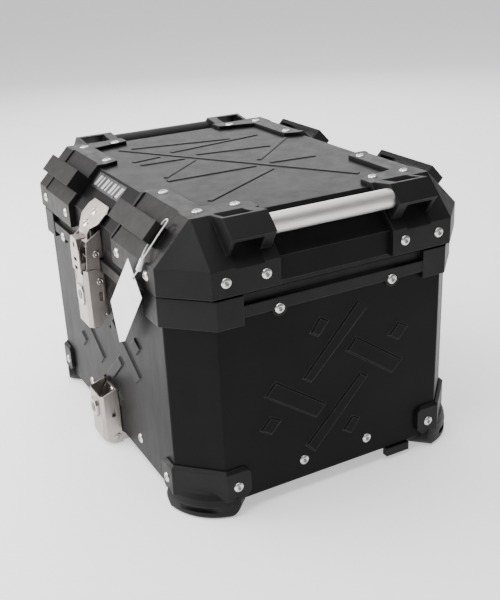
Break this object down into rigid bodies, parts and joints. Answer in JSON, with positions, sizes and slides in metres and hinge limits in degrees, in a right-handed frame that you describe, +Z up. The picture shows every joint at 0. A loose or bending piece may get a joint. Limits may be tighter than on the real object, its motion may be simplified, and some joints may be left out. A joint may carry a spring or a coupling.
{
  "type": "motorcycle top case",
  "caption": "Hard aluminium motorcycle top case with a hinged bevelled lid, black corner guards, strap loops, a side carry handle, an over-centre front latch and a lower release latch.",
  "frame": {"origin": "on the plane of the feet's undersides, below the middle of the tub", "axes": "+X towards the end with the bright carry handle, -Y towards the latches, +Z up"},
  "size_m": [0.416, 0.3564, 0.2945],
  "materials": {
    "dark_aluminium": "satin, dark grey powder coat",
    "black_plastic": "matte black moulding",
    "rubber_mat": "matte",
    "seal_rubber": "matte",
    "brushed_tube": "brushed",
    "black_tube": "satin black",
    "rivet_steel": "plain",
    "stainless": "brushed",
    "lock_chrome": "polished",
    "lock_brass": "worn",
    "sticker": "printed",
    "tag_paper": "coated card",
    "string_white": "braided",
    "clasp_plastic": "moulded"
  },
  "bodies": {
    "case": {"case_tub": "dark_aluminium", "case_rim": "black_plastic", "base_frame": "black_plastic", "floor_mat": "rubber_mat", "rim_rivets": "rivet_steel", "base_rivets": "rivet_steel", "foot_rivets": "rivet_steel", "latch_base_rivets": "rivet_steel", "lower_latch_rivets": "rivet_steel", "hinge_body_rivets": "rivet_steel", "hinge_body_leaf": "stainless", "hinge_pin": "stainless", "latch_base": "stainless", "latch_pivot_pin": "stainless", "lower_latch_base": "stainless", "lower_pivot_pin": "stainless", "carrier_block_right": "black_plastic", "carrier_block_left": "black_plastic", "foot_front_right": "black_plastic", "foot_front_left": "black_plastic", "foot_rear_right": "black_plastic", "foot_rear_left": "black_plastic"},
    "lid": {"lid_shell": "dark_aluminium", "lid_frame": "black_plastic", "lid_seal": "seal_rubber", "handle_tube": "brushed_tube", "handle_bar_left": "black_tube", "lid_side_rivets": "rivet_steel", "lid_top_rivets": "rivet_steel", "keeper_rivets": "rivet_steel", "latch_keeper": "stainless", "keeper_pad": "black_plastic", "lid_sticker": "sticker", "hinge_lid_leaf": "stainless", "hinge_lid_rivets": "rivet_steel", "hang_tag": "tag_paper", "tag_string": "string_white", "tag_clasp": "clasp_plastic", "lid_guard_front_right": "black_plastic", "lid_guard_front_left": "black_plastic", "lid_guard_rear_right": "black_plastic", "lid_guard_rear_left": "black_plastic"},
    "latch_lever": {"latch_lever": "stainless", "latch_link_pin": "stainless", "latch_lock_housing": "lock_chrome"},
    "latch_link": {"latch_link": "stainless"},
    "latch_plug": {"latch_lock_plug": "lock_brass"},
    "lower_lever": {"lower_lever": "stainless", "lower_lock_housing": "lock_chrome"},
    "lower_claw": {"lower_claw": "stainless"},
    "lower_plug": {"lower_lock_plug": "lock_brass"}
  },
  "joints": [
    {"name": "lid_hinge", "type": "hinge", "parent": "case", "child": "lid", "pos_m": [0, 0.168, 0.2205], "axis": [-1, 0, 0], "range_deg": [0, 95]},
    {"name": "lever_pivot", "type": "hinge", "parent": "case", "child": "latch_lever", "pos_m": [0, -0.167, 0.222], "axis": [-1, 0, 0], "range_deg": [0, 80]},
    {"name": "link_pivot", "type": "hinge", "parent": "latch_lever", "child": "latch_link", "pos_m": [0, -0.1662, 0.1923], "axis": [1, 0, 0], "range_deg": [0, 40]},
    {"name": "latch_key_turn", "type": "hinge", "parent": "latch_lever", "child": "latch_plug", "pos_m": [0, -0.1815, 0.176], "axis": [0, -1, 0], "range_deg": [0, 90]},
    {"name": "lower_lever_pivot", "type": "hinge", "parent": "case", "child": "lower_lever", "pos_m": [0, -0.1655, 0.009], "axis": [1, 0, 0], "range_deg": [0, 50]},
    {"name": "claw_pivot", "type": "hinge", "parent": "case", "child": "lower_claw", "pos_m": [0, -0.1655, 0.009], "axis": [-1, 0, 0], "range_deg": [0, 58]},
    {"name": "lower_key_turn", "type": "hinge", "parent": "lower_lever", "child": "lower_plug", "pos_m": [0, -0.181, 0.043], "axis": [0, -1, 0], "range_deg": [0, 90]}
  ],
  "couplings": [
    {"joint": "link_pivot", "follows": "lever_pivot", "ratio": 0.5}
  ]
}
